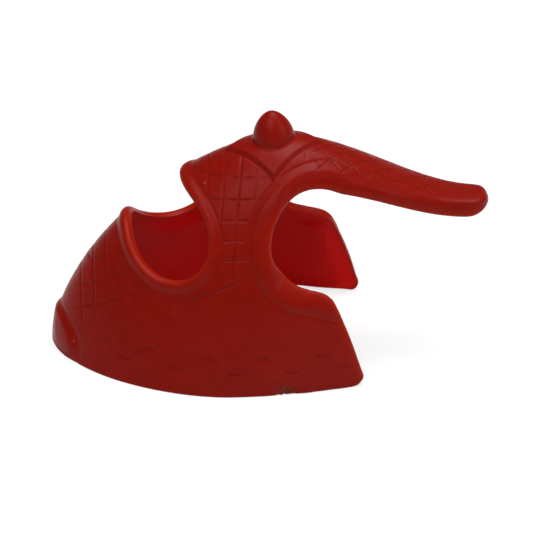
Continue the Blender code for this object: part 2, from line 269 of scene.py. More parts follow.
def smeared(field, axis, reach):
    """Running mean of a field over reach cells each way, with its ends repeated."""
    margins = [(reach + 1, reach) if a == axis else (0, 0) for a in range(3)]
    padded = np.pad(field, margins, mode="edge")
    total = np.cumsum(padded, axis=axis)
    size = field.shape[axis]
    ahead = np.take(total, np.arange(2 * reach + 1, 2 * reach + 1 + size), axis=axis)
    return (ahead - np.take(total, np.arange(size), axis=axis)) / (2 * reach + 1)


normals = grid_normals()
mirrored = np.concatenate((normals, normals[:, -2::-1] * (1.0, -1.0, 1.0)), axis=1)
blur = int(SMEAR_REACH / CELL)
soft_normals = unit(smeared(smeared(smeared(mirrored, 1, blur), 1, blur), 0, blur)[:, :COLUMNS])
outward_reach = (normals * (grid - MIDDLE)).sum(-1).mean()
print("normals point out by", round(float(outward_reach) / MM, 1), "mm")

# %% [markdown]
# ## The openings
#
# Booleans would cut the openings with a hard edge and leave long thin triangles.  Here each opening is
# a distance instead: how far a point of the wall lies from the hole.  The same number then cuts the
# wall, rolls its rim over and raises the trim, so that the three always agree.

# %% Distance from the eye opening
def eye_distance(x, z):
    """Distance from a horseshoe: a disc joined with a slot that runs out through the ridge.  Both are
    worked out across and along the slot, u and v, which are x and z turned by the tilt."""
    c, s = np.cos(EYE_TILT), np.sin(EYE_TILT)
    u = (x - EYE_X) * c + (z - EYE_HEIGHT) * s
    v = (z - EYE_HEIGHT) * c - (x - EYE_X) * s
    disc = np.hypot(u, v) - EYE_RADIUS
    beside = np.abs(u) - EYE_MOUTH_HALF_WIDTH
    slot = np.hypot(np.maximum(beside, 0.0), np.maximum(-v, 0.0))
    slot = np.where(slot > 0.0, slot, np.maximum(beside, -v))
    return smooth_least(disc, slot, CORNER_BLEND)


print("nose tip lies", round(float(eye_distance(NOSE_X, 0.0)) / MM, 1), "mm from the eye")


# %% Distance from a line, and from the guard
GUARD_UPTURN = 5.0 * MM


def line_distance(x, z, start, end):
    """Distance from the straight line through two points: the cross product over the line's length."""
    dx, dz = end[0] - start[0], end[1] - start[1]
    return ((x - start[0]) * dz - (z - start[1]) * dx) / np.hypot(dx, dz)


def guard_depth(x):
    """Depth of the guard's side, which thins back along a quarter sine and ends in a quarter ellipse."""
    blend = np.clip((x - EAR_X) / (TAIL_X - EAR_X), 0.0, 1.0)
    depth = GUARD_ROOT_DEPTH + (GUARD_END_DEPTH - GUARD_ROOT_DEPTH) * np.sin(blend * np.pi / 2)
    into = np.clip((x - TAIL_X + GUARD_UPTURN) / GUARD_UPTURN, 0.0, 1.0)
    return depth - GUARD_EDGE_RADIUS * (1.0 - np.sqrt(1.0 - into ** 2))


def guard_distance(x, z):
    """Height above the guard's lower edge."""
    return z - crown_line(x) + guard_depth(x)


print("guard", round(float(guard_depth(EAR_X)) / MM, 1), "mm deep at its root")


# %% Distance from the ear notch and all that is open behind
FOOT_SETBACK = 0.8 * MM
REAR_BULGE = 0.6 * MM
FOOT_CORNER = 2.4 * MM
NOTCH_BLEND = 0.4 * MM
NOTCH_END = (EAR_X + EAR_RADIUS * np.cos(EAR_ARC_END), EAR_HEIGHT + EAR_RADIUS * np.sin(EAR_ARC_END))
CHEEK_TOP = (CHEEK_TOP_X, CHEEK_TOP_HEIGHT)
CHEEK_FOOT = (CHEEK_FOOT_X + FOOT_SETBACK, 0.0)


def ear_disc_distance(x, z):
    """Distance from the ear's disc."""
    return np.hypot(x - EAR_X, z - EAR_HEIGHT) - EAR_RADIUS


def cheek_top_distance(x, z):
    """Distance below the line that carries the notch out to the top corner of the cheek."""
    return line_distance(x, z, NOTCH_END, CHEEK_TOP)


def rear_distance(x, z):
    """Distance from all that is open behind: the ear's disc, and the space between cheek and guard.
    The cheek's rear edge bulges by a half sine and turns in at its foot by a quarter circle."""
    bulge = REAR_BULGE * np.sin(np.pi * np.clip(z / CHEEK_TOP_HEIGHT, 0.0, 1.0))
    rear_edge = line_distance(x, z, CHEEK_TOP, CHEEK_FOOT) + bulge
    low = np.clip(1.0 - z / FOOT_CORNER, 0.0, 1.0)
    rear_edge = rear_edge - FOOT_CORNER * (1.0 - np.sqrt(1.0 - low ** 2))
    cheek = smooth_least(cheek_top_distance(x, z), rear_edge, CORNER_BLEND)
    behind = np.maximum(np.maximum(cheek, guard_distance(x, z)), NOTCH_END[0] - x)
    return smooth_least(ear_disc_distance(x, z), behind, NOTCH_BLEND)


print("cheek lies", round(float(rear_distance(MIDDLE[0], MIDDLE[2])) / MM, 1), "mm from the rear")

# %% [markdown]
# ## Fit the grid to the openings
#
# Points near an edge slide along the surface until they lie on it, so the edge becomes a row of points
# and not a staircase.  Then the points beside it are drawn closer to it, because the rim turns over
# there in a quarter circle and needs more of them.

# %% Slide along the surface
LEAST_STEEPNESS = 0.25


def opening_distance(points):
    """The lesser of the distances from the eye opening and from all that is open behind."""
    x, z = points[..., 0], points[..., 2]
    return np.minimum(eye_distance(x, z), rear_distance(x, z))


def sampled(field, row, column):
    """Values of a grid field between its points, by bilinear mixing."""
    r = np.clip(np.floor(row).astype(int), 0, ROWS - 2)
    c = np.clip(np.floor(column).astype(int), 0, COLUMNS - 2)
    a, b = (row - r)[..., None], (column - c)[..., None]
    near = field[r, c] * (1 - b) + field[r, c + 1] * b
    far = field[r + 1, c] * (1 - b) + field[r + 1, c + 1] * b
    return near * (1 - a) + far * a


def slope_on_surface(values):
    """Steepest way on the surface: cells moved per metre, and how fast the values grow that way."""
    along, up = np.gradient(grid, axis=0), np.gradient(grid, axis=1)
    d_along, d_up = np.gradient(values, axis=0), np.gradient(values, axis=1)
    aa, au, uu = (along * along).sum(-1), (along * up).sum(-1), (up * up).sum(-1)
    area = np.maximum(aa * uu - au * au, 1e-20)
    go_row = (uu * d_along - au * d_up) / area
    go_column = (aa * d_up - au * d_along) / area
    steep = np.sqrt(np.maximum(go_row * d_along + go_column * d_up, 1e-12))
    go_column[:, 0] = 0.0
    go_column[:, -1] = 0.0
    return go_row / steep, go_column / steep, np.maximum(steep, LEAST_STEEPNESS)


distance = opening_distance(grid)
go_row, go_column, steepness = slope_on_surface(distance)
print("points inside the wall:", int((distance > 0).sum()))


# %% Snap the edge
SNAP_STEPS = 3


def crossing_points(values):
    """Marks the nearer end of every grid edge, and of every cell's diagonal, that an opening crosses."""
    marked = np.zeros(values.shape, bool)
    cuts = (((slice(None, -1), slice(None)), (slice(1, None), slice(None))),
            ((slice(None), slice(None, -1)), (slice(None), slice(1, None))),
            ((slice(None, -1), slice(None, -1)), (slice(1, None), slice(1, None))))
    for first, second in cuts:
        a, b = values[first], values[second]
        crossed = (a > 0) != (b > 0)
        marked[first] |= crossed & (np.abs(a) <= np.abs(b))
        marked[second] |= crossed & (np.abs(a) > np.abs(b))
    return marked


row_at, column_at = np.indices((ROWS, COLUMNS), dtype=float)
on_edge = crossing_points(distance)
for _ in range(SNAP_STEPS):
    here = opening_distance(sampled(grid, row_at[on_edge], column_at[on_edge]))
    slide = np.clip(-here / steepness[on_edge], -CELL, CELL)
    row_at[on_edge] = np.clip(row_at[on_edge] + slide * go_row[on_edge], 0, ROWS - 1)
    column_at[on_edge] = np.clip(column_at[on_edge] + slide * go_column[on_edge], 0, COLUMNS - 1)
left_over = np.abs(opening_distance(sampled(grid, row_at[on_edge], column_at[on_edge])))
print(int(on_edge.sum()), "edge points, off by at most", round(float(left_over.max()) / MM, 3), "mm")

# %% Draw points to the rims
RIM_ROUND = 0.8 * MM
REAR_ROUND = 0.6 * MM
DRAW_REACH = 3.5 * MM
FULL_ROLL_HEIGHTS = (CHEEK_TOP_HEIGHT - 5 * MM, CHEEK_TOP_HEIGHT + 1 * MM)


def rim_radius(points):
    """Roll of the rim: full round the eye, the ear and the guard, and tight down the rear edge."""
    x, z = points[..., 0], points[..., 2]
    full = smooth_step(*FULL_ROLL_HEIGHTS, z)
    full = np.where(eye_distance(x, z) < rear_distance(x, z), 1.0, full)
    return REAR_ROUND + (RIM_ROUND - REAR_ROUND) * full


away = np.where(on_edge, 0.0, distance / steepness)
roll = rim_radius(grid)
quarter = roll * np.pi / 2
rolled = roll * (1.0 - np.cos(np.clip(away, 0.0, quarter) / roll))
beyond = away - (quarter - roll) * (1.0 - smooth_step(quarter, DRAW_REACH, away))
target = np.where(away < quarter, rolled, beyond)
drawn = np.where(away > 0, target - away, 0.0)
row_at = np.clip(row_at + drawn * go_row, 0, ROWS - 1)
column_at = np.clip(column_at + drawn * go_column, 0, COLUMNS - 1)
row_at[0] = 0.0
places = sampled(grid, row_at, column_at)
out = unit(sampled(normals, row_at, column_at))
soft_out = unit(sampled(soft_normals, row_at, column_at))
to_edge = np.where(away > 0, np.maximum(target, 0.0), 0.0)
print("largest shift", round(float(np.abs(drawn).max()) / MM, 2), "mm")

# %% Keep what is wall
def wall_triangles():
    """Two triangles for each cell, without those in an opening or squeezed flat at the nose."""
    index = np.arange(ROWS * COLUMNS).reshape(ROWS, COLUMNS)
    index[0] = index[0, 0]
    a, b, c, d = index[:-1, :-1], index[1:, :-1], index[1:, 1:], index[:-1, 1:]
    halves = (np.stack((a, b, c), -1).reshape(-1, 3), np.stack((a, c, d), -1).reshape(-1, 3))
    faces = np.concatenate(halves)
    on_wall = (np.where(on_edge, 0.0, distance).ravel()[faces] >= 0).all(1)
    spans_edge = on_edge.ravel()[faces].all(1)
    in_opening = spans_edge & (opening_distance(places.reshape(-1, 3)[faces].mean(1)) < 0)
    whole = (faces != np.roll(faces, 1, axis=1)).all(1)
    return faces[on_wall & whole & ~in_opening]


triangles = wall_triangles()
print(len(triangles), "triangles in half of the skin")

# %% [markdown]
# ## Relief
#
# The trims, the plaque and the lines are one with the wall.  Strips laid on it would show a seam, so
# everything that stands up or is cut in is a height above the plain vault, given as a function of
# place.  A real mould is cut the same way: the trims and the plaque are hollows in it, and the engraved
# lines are fine ridges.

# %% Helpers for relief
x, y, z = places[..., 0], places[..., 1], places[..., 2]


def groove(across, width):
    """Depth of a round-bottomed line: a bell curve of the distance across it."""
    return np.exp(-(across / width) ** 2)


def ruled(value, pitch, width):
    """Equal lines at every whole pitch of a value."""
    return groove((value / pitch - np.round(value / pitch)) * pitch, width)


def patchy(a, b, seed):
    """Slow waves that add up to an uneven patchwork between 0 and 1.  Their odd ratios keep the pattern
    from repeating, and dividing by a little more than their number keeps most of it off the ends."""
    waves = sum(np.sin(a * k * 1.7 + b * k * 1.1 + seed * k) * np.cos(b * k * 1.9 - a * k * 0.7 + 2 * seed)
                for k in (350.0, 610.0, 970.0))
    return np.clip(0.5 + waves / 3.2, 0.0, 1.0)


print("wall seen from", round(float(x.min()) / MM, 1), "to", round(float(x.max()) / MM, 1), "mm")


# %% A trim's form
TRIM_RISE = 0.45 * MM
TRIM_ARCH = 0.3
SHOULDER_INSIDE = 1.2 * MM
SHOULDER_OUTSIDE = 0.3 * MM
TRIM_LINE_DEPTH = 0.07 * MM
TRIM_LINE_WIDTH = 0.2 * MM


def trim(away_from_opening, width):
    """A band arched by a half sine, with a soft outer shoulder, and a fine line sunk along its foot."""
    arch = 1.0 - TRIM_ARCH + TRIM_ARCH * np.sin(np.pi * np.clip(away_from_opening / width, 0.0, 1.0))
    fall = smooth_step(width - SHOULDER_INSIDE, width + SHOULDER_OUTSIDE, away_from_opening)
    line = groove(away_from_opening - width - SHOULDER_OUTSIDE, TRIM_LINE_WIDTH)
    return TRIM_RISE * arch * (1.0 - fall) - TRIM_LINE_DEPTH * line


print("a trim stands", TRIM_RISE / MM, "mm high")


# %% Trims round the eye and the ear
EYE_TRIM_WIDTH = 2.3 * MM
EAR_TRIM_WIDTH = 4.3 * MM
GUARD_BAND_SHARE = 0.62
GUARD_BAND_LEAST_DEPTH = 1.0 * MM
GUARD_TRIM_LOSS = 0.55
PAST_EAR = (EAR_X - 3 * MM, EAR_X + 1 * MM)
TRIM_FADE = (EAR_X + 2 * MM, EAR_X + 14 * MM)
TRIM_END = (TAIL_X - 0.5 * MM, TAIL_X - 5 * MM)

eye_away = eye_distance(x, z)
ear_disc = ear_disc_distance(x, z)
guard_band = GUARD_BAND_SHARE * np.maximum(guard_depth(x), GUARD_BAND_LEAST_DEPTH)
above_guard_edge = guard_distance(x, z) * EAR_TRIM_WIDTH / guard_band
past_ear = np.where(z > EAR_HEIGHT, above_guard_edge, cheek_top_distance(x, z))
past_ear = np.minimum(ear_disc, past_ear)
ear_away = ear_disc + (past_ear - ear_disc) * smooth_step(*PAST_EAR, x)
on_guard = smooth_step(*TRIM_FADE, x) * (z > EAR_HEIGHT)
ear_share = (1.0 - GUARD_TRIM_LOSS * on_guard) * smooth_step(*TRIM_END, x)
trims = trim(eye_away, EYE_TRIM_WIDTH) + trim(ear_away, EAR_TRIM_WIDTH) * ear_share
print("trims rise", round(float(trims.max()) / MM, 2), "mm")

# %% Plaque
PLAQUE_X = NOSE_X + 43.5 * MM
PLAQUE_HALF_LENGTH = 9.2 * MM
PLAQUE_HALF_WIDTH = 8.2 * MM
PLAQUE_RISE = 0.55 * MM
PLAQUE_BEVEL = 0.5 * MM
PLAQUE_BEVEL_FOOT = 0.1 * MM
PLAQUE_LINE_DEPTH = 0.08 * MM
PLAQUE_LINE_WIDTH = 0.18 * MM
PLAQUE_LINE_AWAY = 0.25 * MM

slant = PLAQUE_HALF_LENGTH * PLAQUE_HALF_WIDTH / np.hypot(PLAQUE_HALF_LENGTH, PLAQUE_HALF_WIDTH)
lozenge = np.abs(x - PLAQUE_X) / PLAQUE_HALF_LENGTH + np.abs(y) / PLAQUE_HALF_WIDTH
plaque_inside = (1.0 - lozenge) * slant
plaque = PLAQUE_RISE * smooth_step(-PLAQUE_BEVEL_FOOT, PLAQUE_BEVEL, plaque_inside)
plaque_line = PLAQUE_LINE_DEPTH * groove(plaque_inside + PLAQUE_LINE_AWAY, PLAQUE_LINE_WIDTH)
print("plaque covers", int((plaque_inside > 0).sum()), "points")

# %% The fillet round the stud's foot
STUD_RADIUS = 3.9 * MM
STUD_FILLET = 0.5 * MM

lifted = places + out * plaque[..., None]
from_stud = np.hypot(lifted[..., 0] - PLAQUE_X, lifted[..., 1])
bend = np.clip((STUD_RADIUS + STUD_FILLET - from_stud) / STUD_FILLET, 0.0, 1.0)
stud_foot = STUD_FILLET * (1.0 - np.sqrt(1.0 - bend ** 2))
print("fillet rises", round(float(stud_foot.max()) / MM, 2), "mm")


# %% Nose pad
PAD_RADII = np.array((9.0, 12.0, 6.0)) * MM
PAD_CENTER = np.array((NOSE_X, 0.0, 2.0 * MM))
PAD_TIP_RISE = 0.18 * MM
PAD_RISE = 0.6 * MM
PAD_TIP_RUN = 1.6 * MM
PAD_FOOT_RUN = 3 * MM
PAD_FOOT_SHARE = 0.35
PAD_SHOULDER = (1.06, 0.78)
PAD_CREASE_DEPTH = 0.06 * MM
PAD_CREASE_RATIO = 1.09
PAD_CREASE_WIDTH = 0.045


def pad_rise(points):
    """Rises over the inside of an ellipsoid round the nose's tip, least at the tip, with a creased edge."""
    ratio = np.linalg.norm((points - PAD_CENTER) / PAD_RADII, axis=-1)
    off_tip = smooth_step(0.0, PAD_TIP_RUN, points[..., 0] - NOSE_X)
    off_foot = smooth_step(0.0, PAD_FOOT_RUN, points[..., 2])
    swell = PAD_TIP_RISE + (PAD_RISE - PAD_TIP_RISE) * off_tip
    swell = swell * (PAD_FOOT_SHARE + (1.0 - PAD_FOOT_SHARE) * off_foot)
    crease = PAD_CREASE_DEPTH * groove(ratio - PAD_CREASE_RATIO, PAD_CREASE_WIDTH)
    return swell * smooth_step(*PAD_SHOULDER, ratio) - crease * off_tip


pad = pad_rise(places)
print("pad rises", round(float(pad.max()) / MM, 2), "mm")

# %% Lattice on the snout
LINE_WIDTH = 0.17 * MM
LINE_DEPTH = 0.15 * MM
SNOUT_PITCHES = (2.7 * MM, 3.6 * MM)
SNOUT_SLANTS = (0.06, 0.6)
SNOUT_FOOT_SLOPE = 0.72
SNOUT_FOOT_X = -37 * MM
SNOUT_FOOT_HEIGHTS = (6 * MM, 8.5 * MM)
SNOUT_START = (NOSE_X + 4.5 * MM, NOSE_X + 6.5 * MM)
OFF_EYE_TRIM = (EYE_TRIM_WIDTH + 0.5 * MM, EYE_TRIM_WIDTH + 1.1 * MM)

off_eye_trim = smooth_step(*OFF_EYE_TRIM, eye_away)
above_foot = smooth_step(*SNOUT_FOOT_HEIGHTS, z - SNOUT_FOOT_SLOPE * (x - SNOUT_FOOT_X))
snout_zone = off_eye_trim * above_foot * (x < EYE_X) * smooth_step(*SNOUT_START, x)
upright = ruled(x + SNOUT_SLANTS[0] * z, SNOUT_PITCHES[0], LINE_WIDTH)
rising = ruled(z - SNOUT_SLANTS[1] * x, SNOUT_PITCHES[1], LINE_WIDTH)
snout_lines = np.maximum(upright, rising) * snout_zone
print("snout lines mark", int((snout_lines > 0.5).sum()), "points")

# %% Lattice on the column between eye and ear
COLUMN_PITCHES = (3.0 * MM, 3.3 * MM)
COLUMN_SLANT = 0.1
COLUMN_FOOT = (21 * MM, 24 * MM)
OFF_EAR_TRIM = (EAR_TRIM_WIDTH + 0.6 * MM, EAR_TRIM_WIDTH + 1.2 * MM)
OFF_PLAQUE = (-0.2 * MM, -0.6 * MM)

off_plaque = smooth_step(*OFF_PLAQUE, plaque_inside)
column_zone = off_eye_trim * smooth_step(*OFF_EAR_TRIM, ear_away) * smooth_step(*COLUMN_FOOT, z)
column_zone = column_zone * off_plaque * (x > EYE_X) * (x < EAR_X)
upright = ruled(x - COLUMN_SLANT * z, COLUMN_PITCHES[0], LINE_WIDTH)
level = ruled(z - COLUMN_SLANT * x, COLUMN_PITCHES[1], LINE_WIDTH)
column_lines = np.maximum(upright, level) * column_zone
print("column lines mark", int((column_lines > 0.5).sum()), "points")

# %% Lattice on the guard, and the whole of it
GUARD_PITCH = 4.0 * MM
GUARD_SLANT = 1.05
GUARD_LINES_END = (TAIL_X - 5 * MM, TAIL_X - 9 * MM)
GUARD_LINES_INSET = (1.3 * MM, 1.9 * MM)
LEAST_LINE_SHARE = 0.25
LINE_PATCH_SEED = 1.3

guard_zone = smooth_step(*PAST_EAR, x) * smooth_step(*GUARD_LINES_END, x) * off_plaque
guard_zone = guard_zone * smooth_step(*GUARD_LINES_INSET, guard_half_width(x) - y)
outwards = ruled(x + GUARD_SLANT * y, GUARD_PITCH, LINE_WIDTH)
inwards = ruled(x - GUARD_SLANT * y, GUARD_PITCH, LINE_WIDTH)
guard_lines = np.maximum(outwards, inwards) * guard_zone
lattice = np.maximum(np.maximum(snout_lines, column_lines), guard_lines)
wear = LEAST_LINE_SHARE + (1.0 - LEAST_LINE_SHARE) * patchy(x, z + y, LINE_PATCH_SEED)
lattice = lattice * wear
print("lattice marks", int((lattice > 0.5).sum()), "points")

# %% Border along the foot
BORDER_DEPTH = 0.11 * MM
BORDER_WIDTH = 0.24 * MM
BORDER_PITCH = 11.0 * MM
BORDER_HEIGHT = 6.3 * MM
BORDER_WAVE = 1.5 * MM
BORDER_CREST_X = -0.7 * MM
BORDER_LEAST_SHARE = 0.1
BORDER_START = (NOSE_X + 10 * MM, NOSE_X + 14 * MM)
BORDER_END = (1 * MM, 2.5 * MM)

foot_steps = np.hypot(np.diff(stations), np.diff(plan_half_width(stations)))
foot_run = np.concatenate(([0.0], np.cumsum(foot_steps)))
foot = np.interp(x, stations, foot_run) - np.interp(BORDER_CREST_X, stations, foot_run)
swing = 2 * np.pi * foot / BORDER_PITCH
slope = 2 * np.pi * BORDER_WAVE / BORDER_PITCH * np.sin(swing)
above_wave = (z - BORDER_HEIGHT - BORDER_WAVE * np.cos(swing)) / np.sqrt(1 + slope ** 2)
border = groove(above_wave, BORDER_WIDTH)
border = border * (BORDER_LEAST_SHARE + (1.0 - BORDER_LEAST_SHARE) * np.cos(swing) ** 2)
border = border * smooth_step(*BORDER_START, x) * smooth_step(*BORDER_END, rear_distance(x, z))
print("border runs", round(float(foot.max() - foot.min()) / MM), "mm")

# %% Line under the eye
UNDER_EYE = ((-16.6 * MM, 16.8 * MM), (-5.0 * MM, 22.2 * MM))
UNDER_EYE_WIDTH = 0.22 * MM
UNDER_EYE_START = (-17.5 * MM, -15 * MM)
UNDER_EYE_END = (-4 * MM, -7 * MM)

eye_line = groove(line_distance(x, z, *UNDER_EYE), UNDER_EYE_WIDTH)
eye_line = eye_line * smooth_step(*UNDER_EYE_START, x) * smooth_step(*UNDER_EYE_END, x)
print("line under the eye marks", int((eye_line > 0.5).sum()), "points")

# %% [markdown]
# ## From heights to a closed shell
#
# Solidify could thicken a skin, but its rims would be square and its inside would fold at the guard's
# tight corners.  Here the outer and the inner skin are the same grid, moved out and in along normals,
# and a strip of faces joins them all round each edge.  The inner skin follows smoothed normals, so it
# turns its corners without folding.

# %% How the skins turn at rim and foot
FOOT_LEVEL = 3 * MM
FOOT_ROUND = 0.35 * MM


def rolled_in(away, radius):
    """Depth of a quarter circle at a distance from the edge, from its radius down to nothing."""
    t = np.clip(away / radius, 0.0, 1.0)
    return radius * (1.0 - np.sqrt(1.0 - (1.0 - t) ** 2))


def level_at_foot(directions):
    """Directions turned level near the floor, so that the foot of the wall stays in the floor's plane."""
    turned = directions.copy()
    turned[..., 2] *= smooth_step(0.0, FOOT_LEVEL, z)
    return unit(turned)


outward = level_at_foot(out)
inward = level_at_foot(soft_out)
foot_roll = rolled_in(z, FOOT_ROUND)
print("foot rolls in by", round(float(foot_roll.max()) / MM, 2), "mm")

# %% Heights of both skins
RIM_THINNING = 1.1 * MM
THINNING_REACH = 4.0 * MM
WOBBLE = 0.035 * MM
WOBBLE_STRETCH = (0.35, 0.35, 0.2)
WOBBLE_SEED = 4.1
PLAQUE_LINE_REACH = 1 * MM
NOSE_CALM = 1.5 * MM

wobble_up = z * WOBBLE_STRETCH[1] + y * WOBBLE_STRETCH[2]
wobble = WOBBLE * (patchy(x * WOBBLE_STRETCH[0], wobble_up, WOBBLE_SEED) - 0.5)
relief = trims + plaque - plaque_line * (plaque_inside > -PLAQUE_LINE_REACH)
relief = relief - LINE_DEPTH * lattice - BORDER_DEPTH * (border + eye_line) + wobble
relief = relief - rolled_in(to_edge, rim_radius(places)) - foot_roll
relief = relief * smooth_step(0.0, NOSE_CALM, x - NOSE_X) + pad
depth = WALL - RIM_THINNING * (1.0 - smooth_step(0.0, THINNING_REACH, to_edge)) - foot_roll
edge_wall = np.median((relief + depth)[on_edge])
print("wall is", round(float(edge_wall) / MM, 2), "mm thick at its edges")


# %% Scar
SCAR_PLACE = (3.7 * MM, 0.5 * MM)
SCAR_HALF_SIZE = (2.2 * MM, 1.6 * MM)
SCAR_DEPTH = 0.45 * MM
SCAR_ROUGHNESS = 0.45
SCAR_WAVES = (5200.0, 4300.0, 900.0)
SCAR_INSIDE_SHARE = 0.4


def gate_scar(side):
    """Where the gate was broken off, at the foot of the near cheek.  Fourth powers give it a flat middle,
    and two crossed waves roughen it.  The far side has none."""
    if side > 0:
        return np.zeros(x.shape)
    along = ((x - SCAR_PLACE[0]) / SCAR_HALF_SIZE[0]) ** 4
    up = ((z - SCAR_PLACE[1]) / SCAR_HALF_SIZE[1]) ** 4
    waves = np.sin(x * SCAR_WAVES[0]) * np.cos(z * SCAR_WAVES[1] + x * SCAR_WAVES[2])
    return np.exp(-along - up) * (1.0 - SCAR_ROUGHNESS + SCAR_ROUGHNESS * waves)


print("scar is", round(2 * SCAR_HALF_SIZE[0] / MM, 1), "mm long")


# %% Points of one half of the shell
def held_in_solid(skin):
    """A skin kept on its own side of the mid-plane, above the floor and short of the tail."""
    skin[..., 1] = np.maximum(skin[..., 1], 0.0)
    skin[:, -1, 1] = 0.0
    skin[:, 0, 2] = 0.0
    skin[..., 0] = np.minimum(skin[..., 0], TAIL_X)
    skin[..., 2] = np.maximum(skin[..., 2], 0.0)
    return skin


def skin_points(side):
    """Points of the outer skin, then of the inner one.  The inner skin stays above the guard's edge."""
    outer = places + outward * (relief - SCAR_DEPTH * gate_scar(side))[..., None]
    outer[..., 2] += stud_foot
    inner = places - inward * depth[..., None]
    lowest = crown_line(inner[..., 0]) - guard_depth(inner[..., 0])
    in_guard = (inner[..., 0] > EAR_X) & (z > EAR_HEIGHT)
    inner[..., 2] = np.where(in_guard, np.maximum(inner[..., 2], lowest), inner[..., 2])
    both = np.concatenate([held_in_solid(skin).reshape(-1, 3) for skin in (outer, inner)])
    return both * (1.0, side, 1.0)


print(2 * ROWS * COLUMNS, "points in both skins of a half")


# %% What the finish reads
# The rim, line and inside finishes carry painted light: a painted glow on the rims, painted shade in the
# lines, and painted light on the inner skin.
FINISHES = ("rim", "line", "scar", "inside")
RIM_GLOW = 1.1 * MM
INSIDE_PAINTED_LIGHT_FADE = (-0.5 * MM, 0.9 * MM)


def finish_values(side):
    """One number per point for each finish, for the outer skin and then for the inner one."""
    blank = np.zeros(x.shape)
    # The rim mask carries the painted glow along the edges, and a little less gloss there.
    rims = groove(to_edge, RIM_GLOW)
    # The line mask carries painted shade in the engraved lines, and a little less gloss there.
    lines = np.maximum(lattice, np.maximum(border, eye_line))
    scar = gate_scar(side)
    on_outer = (rims, lines, scar, blank)
    # On the inner skin the last mask fades in the painted light of the inside from its rims; it also
    # roughens the inside a little.
    on_inner = (rims, blank, scar * SCAR_INSIDE_SHARE, smooth_step(*INSIDE_PAINTED_LIGHT_FADE, to_edge))
    both = [np.concatenate((outer.ravel(), inner.ravel())) for outer, inner in zip(on_outer, on_inner)]
    return dict(zip(FINISHES, both))


print("finishes:", ", ".join(FINISHES))


# %% Faces that close a piece of wall
def border_edges(faces):
    """Edges that belong to one triangle alone, in that triangle's direction."""
    edges = np.concatenate((faces[:, (0, 1)], faces[:, (1, 2)], faces[:, (2, 0)]))
    key = np.sort(edges, axis=1)
    key = key[:, 0] * (ROWS * COLUMNS) + key[:, 1]
    _, first, count = np.unique(key, return_index=True, return_counts=True)
    return edges[first[count == 1]]


def closed_wall(faces, edges, side):
    """Triangles of both skins and of the strips that join them along the given edges."""
    below = ROWS * COLUMNS
    a, b = edges[:, 0], edges[:, 1]
    strip = np.concatenate((np.stack((b, a, a + below), -1), np.stack((b, a + below, b + below), -1)))
    solid = np.concatenate((faces, faces[:, ::-1] + below, strip))
    return solid if side < 0 else solid[:, ::-1]


def normal_sums(points, faces):
    """Sum of the normals of the faces round each point, weighted by area."""
    a, b, c = (points[faces[:, i]] for i in range(3))
    cross = np.repeat(np.cross(b - a, c - a), 3, axis=0)
    return np.stack([np.bincount(faces.ravel(), cross[:, i], len(points)) for i in range(3)], -1)


print("edge of the half:", len(border_edges(triangles)), "steps")

# %% From arrays to a mesh object
def add_mesh(name, points, faces, point_normal, finishes):
    """A mesh object from arrays, with its normals and one number per point for each finish."""
    used, faces = np.unique(faces, return_inverse=True)
    faces = faces.reshape(-1, 3)
    mesh = bpy.data.meshes.new(name)
    mesh.from_pydata(points[used], [], faces)
    mesh.polygons.foreach_set("use_smooth", np.ones(len(faces), bool))
    mesh.normals_split_custom_set_from_vertices(point_normal[used])
    for finish, values in finishes.items():
        layer = mesh.attributes.new(finish, "FLOAT", "POINT")
        layer.data.foreach_set("value", values[used].astype(np.float32))
    mesh.update()
    item = bpy.data.objects.new(name, mesh)
    bpy.context.scene.collection.objects.link(item)
    return item


print("scene holds", len(bpy.data.meshes), "meshes so far")


# %% The shell in blocks
BLOCKS = {"nose": (-LENGTH, -33.5 * MM), "snout": (-33.5 * MM, -13 * MM),
          "cheek": (-13 * MM, 7 * MM), "guard": (7 * MM, LENGTH)}


def shell_side(label, side):
    """One side of the shell as four closed blocks that meet face to face.  Their normals are those of
    the uncut shell, and level across the ridge, so that no joint between blocks shows."""
    points, finishes = skin_points(side), finish_values(side)
    edges = border_edges(triangles)
    rims = edges[(np.abs(points[edges, 1]) > 0).any(1)]
    sums = normal_sums(points, closed_wall(triangles, rims, side))
    sums[points[:, 1] == 0.0, 1] = 0.0
    point_normal = unit(sums)
    middle_x = points[triangles].mean(1)[:, 0]
    blocks = []
    for part, (start, end) in BLOCKS.items():
        own = triangles[(middle_x >= start) & (middle_x < end)]
        block = closed_wall(own, border_edges(own), side)
        blocks.append(add_mesh(f"{label}_{part}", points, block, point_normal, finishes))
        print(blocks[-1].name, len(block), "triangles")
    return blocks


shell = shell_side("near", -1) + shell_side("far", 1)


# %% [markdown]
# ## The stud
#
# The knob on top of the plaque.  A scaled sphere would do nearly as well, but it is a little too round.
# Here it is a turned shape: its profile is half a superellipse, fuller than a cone and more pointed
# than a ball.  It stands in the round fillet that the wall already carries, and its foot ends inside
# the wall.

# %% Stud
STUD_TOP = 49.6 * MM
STUD_FULLNESS = 1.65
STUD_TILT = np.radians(-4)
STUD_TURNS = 96
STUD_RINGS = 48


